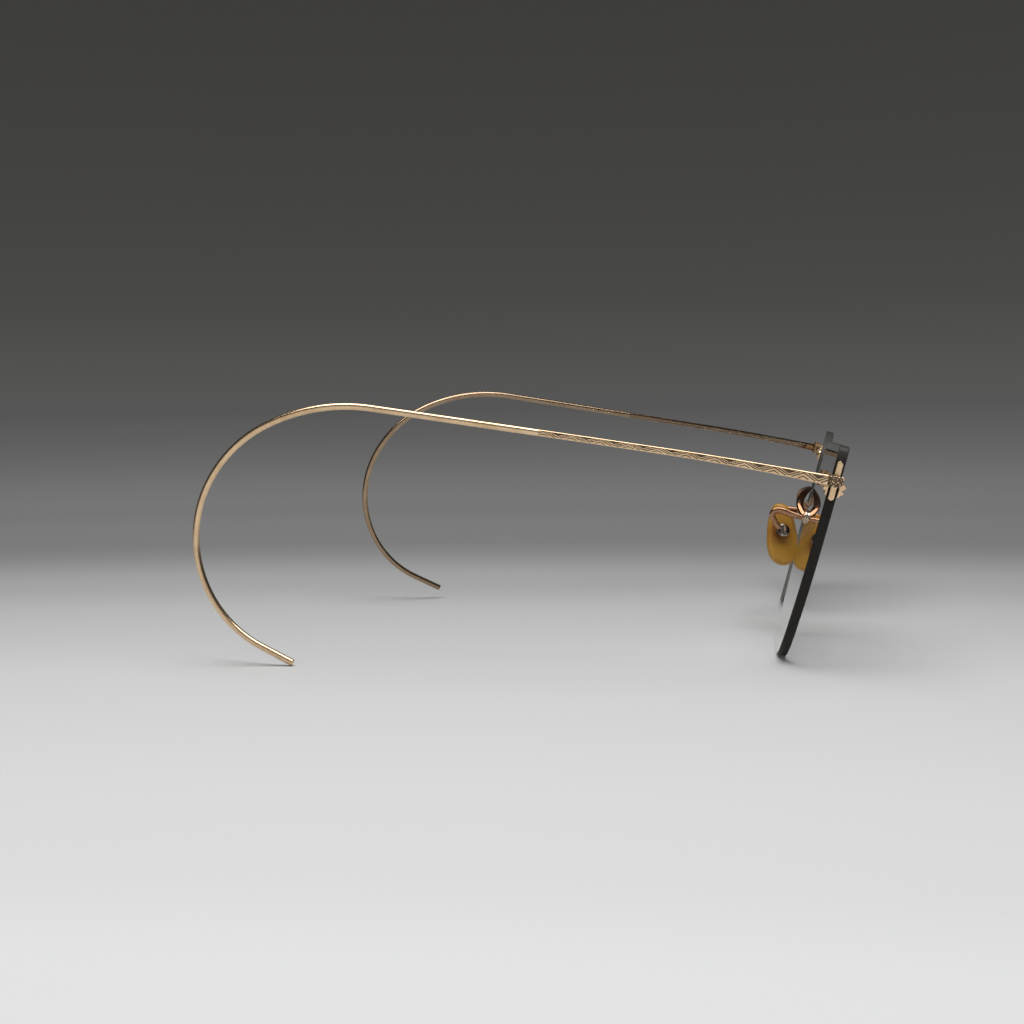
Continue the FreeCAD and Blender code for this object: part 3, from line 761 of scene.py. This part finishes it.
def close_and_orient(mesh, sharp_angle):
    """Close the open ends of a tube, turn its faces outwards and smooth all but sharp edges."""
    shape = bmesh.new()
    shape.from_mesh(mesh)
    rims = [edge for edge in shape.edges if edge.is_boundary]
    bmesh.ops.holes_fill(shape, edges=rims, sides=0)
    bmesh.ops.recalc_face_normals(shape, faces=shape.faces)
    shape.to_mesh(mesh)
    shape.free()
    mesh.shade_smooth()
    mesh.set_sharp_from_angle(angle=math.radians(sharp_angle))


def path_length(path):
    """Length of a centre line."""
    return sum((path[i + 1][0] - path[i][0]).length for i in range(len(path) - 1))


# ---------------------------------------------------------------- cast fittings


WELD_GAP = 0.001 * MM
# Cell size of a casting's new skin, and how many times the skin is then smoothed.
CAST_VOXEL = 0.07 * MM
CAST_EASE = 5
# Net of cut lines on the endpieces: depth, cells per metre, and half a line as a share of a cell.
NET_DEPTH = 0.07 * MM
NET_CELLS = 2100.0
NET_LINE = 0.32
# Length of an endpiece's rear end, sunk a little and painted dark as shade in the joint.
JOINT_SHADE_LENGTH = 0.5 * MM


def speckle_tree(name):
    """Geometry Nodes: cut a net of fine lines into a surface, sink the rear end as painted shade of
    the joint, and keep their depth.
    """
    r, given = start_tree(name, {
        "Geometry": "Geometry", "Depth": "Float", "Cells": "Float", "Line width": "Float",
        "Dark end": "Float", "Finish": "Material"})
    spot = r.node("GeometryNodeInputPosition")
    gap = r.node("ShaderNodeTexVoronoi", {"feature": "DISTANCE_TO_EDGE"},
                 {"Vector": spot, "Scale": given["Cells"]}, "Distance")
    line = 1.0 - r.spread(gap, 0.0, given["Line width"])
    along = r.node("ShaderNodeSeparateXYZ", {}, {0: spot}, "Y")
    # Painted shade: the rear end of the piece, in the joint, is marked as deep so that it turns
    # dark.
    joint_shade = r.spread(along, given["Dark end"] - JOINT_SHADE_LENGTH, given["Dark end"])
    line = r.node("ShaderNodeMath", {"operation": "MAXIMUM"}, {0: line, 1: joint_shade})
    facing = r.node("GeometryNodeInputNormal")
    sink = r.node("ShaderNodeVectorMath", {"operation": "SCALE"},
                  {0: facing, "Scale": line * given["Depth"] * -1.0})
    shape = r.node("GeometryNodeStoreNamedAttribute", {"data_type": "FLOAT", "domain": "POINT"},
                   {"Geometry": given["Geometry"], "Name": "cut", "Value": line})
    shape = r.node("GeometryNodeSetPosition", {}, {"Geometry": shape, "Offset": sink})
    shape = r.node("GeometryNodeSetShadeSmooth", {}, {"Geometry": shape})
    return finish_tree(r, shape, given["Finish"])


def set_inputs(modifier, values):
    """Set a Geometry Nodes modifier's inputs by their sockets' identifiers."""
    for socket in modifier.node_group.interface.items_tree:
        if socket.in_out == "INPUT" and socket.name in values:
            modifier[socket.identifier] = values[socket.name]


def cast_fitting(node, tree, values):
    """A soft-edged casting of a CAD node, with fine lines cut into it, to stand for that node."""
    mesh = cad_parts[node].data.copy()
    shape = bmesh.new()
    shape.from_mesh(mesh)
    bmesh.ops.remove_doubles(shape, verts=shape.verts, dist=WELD_GAP)
    shape.to_mesh(mesh)
    shape.free()
    source = mesh_object("casting", mesh)
    skin = source.modifiers.new("skin", "REMESH")
    skin.mode = "VOXEL"
    skin.voxel_size = CAST_VOXEL
    ease = source.modifiers.new("ease", "SMOOTH")
    ease.factor = 0.5
    ease.iterations = CAST_EASE
    lines = source.modifiers.new("lines", "NODES")
    lines.node_group = tree
    set_inputs(lines, values)
    mesh = plain_mesh(source)
    keep_inside(mesh, node)
    piece = mesh_object(node.replace("_", "_cast_", 1), mesh)
    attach(piece, "front")
    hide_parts(node)


# ---------------------------------------------------------------- operators


class SPECTACLES_OT_glaze(bpy.types.Operator):
    """Give both lenses clear faces and a ground edge"""

    bl_idname = "spectacles.glaze"
    bl_label = "Glaze the lenses"

    def execute(self, context):
        for side in SIDES:
            node = side + "_lens"
            widest = max(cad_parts[node].data.polygons, key=lambda face: face.area)
            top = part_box(node)[1].z
            dress(node, lens_glass(side + "_lens_glass", widest.normal.copy(), top))
        return {"FINISHED"}


class SPECTACLES_OT_engrave(bpy.types.Operator):
    """Make both temple bars with their chased pattern"""

    bl_idname = "spectacles.engrave"
    bl_label = "Engrave the temple bars"

    def execute(self, context):
        engraving = settings().engraving
        tree = repeat_tree("chased_bar")
        finish = chased_metal("chased_gold")
        for side in SIDES:
            node = side + "_temple_bar"
            path, outward, up = bar_path(node, BAR_STATIONS)
            pitch = path_length(path) / engraving.repeats
            tile = mesh_object("tile", chased_tile(pitch, engraving.cut, engraving.depth))
            guide = mesh_object("guide", path_curve("guide", path))
            mesh = run_tree(side + "_engraved_bar", tree, {
                "Tile": tile, "Path": guide, "Repeats": engraving.repeats, "Pitch": pitch,
                "Outward": outward, "Upward": up, "Finish": finish})
            bpy.data.objects.remove(tile)
            bpy.data.objects.remove(guide)
            close_and_orient(mesh, BAR_SHARP_ANGLE)
            keep_inside(mesh, node)
            bar = mesh_object(side + "_engraved_bar", mesh)
            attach(bar, side + "_temple")
            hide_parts(node)
        return {"FINISHED"}


class SPECTACLES_OT_cast(bpy.types.Operator):
    """Cast the endpieces and the lens straps with soft edges"""

    bl_idname = "spectacles.cast"
    bl_label = "Cast the endpieces and straps"

    def execute(self, context):
        gold = settings().metal
        tree = speckle_tree("speckled_casting")
        speckled = chased_metal("speckled_gold")
        polished = metal("strap_gold", gold.pale, gold.deep, 0.12, dirt=0.65)
        worn = metal("worn_strap_gold", gold.steel, gold.deep, 0.12, dirt=0.6)
        finishes = {"endpiece": (speckled, NET_DEPTH), "temporal_strap": (polished, 0.0),
                    "nasal_strap": (worn, 0.0)}
        for side in SIDES:
            for part, (finish, depth) in finishes.items():
                node = side + "_" + part
                cast_fitting(node, tree, {
                    "Depth": depth, "Cells": NET_CELLS, "Line width": NET_LINE,
                    "Dark end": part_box(node)[1].y, "Finish": finish})
        return {"FINISHED"}


class SPECTACLES_OT_plate(bpy.types.Operator):
    """Plate the wires, hinges, screws, bridge, guard arms and pad boxes"""

    bl_idname = "spectacles.plate"
    bl_label = "Plate the metal"

    def execute(self, context):
        colours = settings().metal
        # The drawn wires get painted shade on the side next to the head.
        drawn = metal("drawn_gold", colours.pale, colours.deep, colours.gloss, (1, 0.2, 1),
                      inner_shade_amount=0.6)
        screw = metal("screw_gold", colours.pale, colours.deep, 0.24, dirt=0.5)
        hinge = metal("hinge_gold", colours.deep, colours.patina_and_shade, 0.35, dirt=0.7)
        rose = metal("rose_gold", colours.rose, colours.deep, 0.1, dirt=0.25)
        steel = metal("pad_box_metal", colours.steel, colours.patina_and_shade, 0.3, dirt=0.5)
        finishes = {
            "temple_wire": drawn, "front_hinge_leaf": hinge, "temple_hinge_leaf": hinge,
            "guard_arm": rose, "pad_pin": steel, "pad_stud": steel}
        for side in SIDES:
            for part, finish in finishes.items():
                dress(side + "_" + part, finish)
            low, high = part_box(side + "_pad_box")
            widest = max(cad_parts[side + "_pad_box"].data.polygons,
                         key=lambda face: face.area)
            dress(side + "_pad_box", domed_metal(
                side + "_pad_box_metal", (low + high) / 2, widest.normal.copy(),
                (high.z - low.z) / 2))
        dress("bridge", rose)
        dress("lens_screws", screw)
        dress("hinge_screws", hinge)
        return {"FINISHED"}


class SPECTACLES_OT_pads(bpy.types.Operator):
    """Mould both amber nose pads"""

    bl_idname = "spectacles.pads"
    bl_label = "Mould the nose pads"

    def execute(self, context):
        for side in SIDES:
            low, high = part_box(side + "_pad_stud")
            dress(side + "_nose_pad", amber_pad(side + "_amber", (low + high) / 2))
        return {"FINISHED"}


class SPECTACLES_OT_studio(bpy.types.Operator):
    """Lay the table, hang the lights and set up the camera"""

    bl_idname = "spectacles.studio"
    bl_label = "Set up the studio"

    def execute(self, context):
        make_table()
        make_lights()
        make_sky()
        make_camera()
        return {"FINISHED"}


TABLE_RADIUS = 12.0
TABLE_SIDES = 96
# Tones of the studio, from straight down to straight up.
SKY_TONES = (
    (0.0, (0.13, 0.13, 0.13)), (0.5, (0.092, 0.091, 0.088)), (0.53, (0.067, 0.066, 0.063)),
    (0.565, (0.057, 0.056, 0.053)), (0.62, (0.048, 0.047, 0.044)), (1.0, (0.035, 0.034, 0.031)))
SENSOR_WIDTH = 36.0


def make_table():
    """A wide round sheet of card under the spectacles."""
    shape = bmesh.new()
    bmesh.ops.create_circle(shape, cap_ends=True, segments=TABLE_SIDES, radius=TABLE_RADIUS)
    mesh = bpy.data.meshes.new("table")
    shape.to_mesh(mesh)
    shape.free()
    mesh.materials.append(table_card("table_card"))
    mesh_object("table", mesh)


def area_light(name, place, target, size, power, diffuse=True, glossy=True):
    """A soft light aimed at a point, which can be left out of diffuse light or reflections."""
    lamp = bpy.data.lights.new(name, "AREA")
    lamp.shape = "RECTANGLE"
    lamp.size, lamp.size_y = size
    lamp.energy = power
    made = bpy.data.objects.new(name, lamp)
    made.location = place
    made.visible_diffuse = diffuse
    made.visible_glossy = glossy
    made.rotation_euler = (Vector(target) - Vector(place)).to_track_quat("-Z", "Y").to_euler()
    bpy.context.scene.collection.objects.link(made)


def make_lights():
    """A large soft light overhead, a low fill kept out of reflections, and a card only in them."""
    area_light("overhead", place=(-0.10, 0.02, 0.62), target=(-0.02, 0.0, 0.0),
               size=(0.75, 0.5), power=4.76)
    area_light("front_fill", place=(-0.75, -0.15, 0.28), target=(0.0, 0.0, 0.03),
               size=(0.5, 0.3), power=1.1, glossy=False)
    area_light("side_card", place=(-0.5, 0.0, 0.15), target=(0.0, 0.0, 0.15),
               size=(0.9, 0.3), power=0.33, diffuse=False)


def make_sky():
    """A dim studio that is darker towards the ceiling."""
    world = bpy.data.worlds.new("studio")
    world.use_nodes = True
    bpy.context.scene.world = world
    r = Recipe(world.node_tree)
    direction = r.node("ShaderNodeTexCoord", output="Generated")
    height = r.node("ShaderNodeSeparateXYZ", {}, {0: direction}, "Z")
    stops = [(place, solid(tone)) for place, tone in SKY_TONES]
    tone = r.node("ShaderNodeValToRGB", {"stops": stops}, {0: height * 0.5 + 0.5}, "Color")
    shader = r.node("ShaderNodeBackground", {}, {"Color": tone, "Strength": 1.0})
    r.node("ShaderNodeOutputWorld", {}, {"Surface": shader})


def make_camera():
    """The camera, low and beside the right temple."""
    studio = settings().studio
    turn, drop = studio.camera_turn, studio.camera_drop
    sight = Vector((math.cos(turn) * math.cos(drop), math.sin(turn) * math.cos(drop),
                    -math.sin(drop)))
    level = sight.to_track_quat("-Z", "Y")
    data = bpy.data.cameras.new("camera")
    data.lens = studio.focal
    data.sensor_width = SENSOR_WIDTH
    camera = bpy.data.objects.new("camera", data)
    camera.rotation_mode = "QUATERNION"
    camera.location = studio.camera_place
    camera.rotation_quaternion = level @ Quaternion((0, 0, 1), studio.camera_roll)
    bpy.context.scene.collection.objects.link(camera)
    bpy.context.scene.camera = camera
    bpy.context.scene.view_settings.view_transform = "Standard"


class SPECTACLES_PT_panel(bpy.types.Panel):
    """The steps and the values of the spectacles"""

    bl_idname = "SPECTACLES_PT_panel"
    bl_label = "Rimless Spectacles"
    bl_space_type = "VIEW_3D"
    bl_region_type = "UI"
    bl_category = "Spectacles"

    def draw(self, context):
        for step in STEPS:
            self.layout.operator(step.bl_idname)
        for group in ("metal", "engraving", "clear", "studio"):
            values = getattr(settings(), group)
            box = self.layout.box()
            for name in values.bl_rna.properties.keys():
                if name not in ("rna_type", "name"):
                    box.prop(values, name)


STEPS = (
    SPECTACLES_OT_glaze,
    SPECTACLES_OT_engrave,
    SPECTACLES_OT_cast,
    SPECTACLES_OT_plate,
    SPECTACLES_OT_pads,
    SPECTACLES_OT_studio,
)
CLASSES = (
    SpectaclesMetal,
    SpectaclesEngraving,
    SpectaclesClear,
    SpectaclesStudio,
    SpectaclesSettings,
    *STEPS,
    SPECTACLES_PT_panel,
)


def register():
    """Add the classes and the settings to Blender."""
    for item in CLASSES:
        bpy.utils.register_class(item)
    bpy.types.Scene.spectacles = bpy.props.PointerProperty(type=SpectaclesSettings)


def unregister():
    """Take the classes and the settings out again."""
    del bpy.types.Scene.spectacles
    for item in reversed(CLASSES):
        bpy.utils.unregister_class(item)


def main():
    """Build everything in order."""
    register()
    bpy.ops.spectacles.glaze()
    bpy.ops.spectacles.engrave()
    bpy.ops.spectacles.cast()
    bpy.ops.spectacles.plate()
    bpy.ops.spectacles.pads()
    bpy.ops.spectacles.studio()
    bpy.context.view_layer.update()


if __name__ == "__main__":
    main()
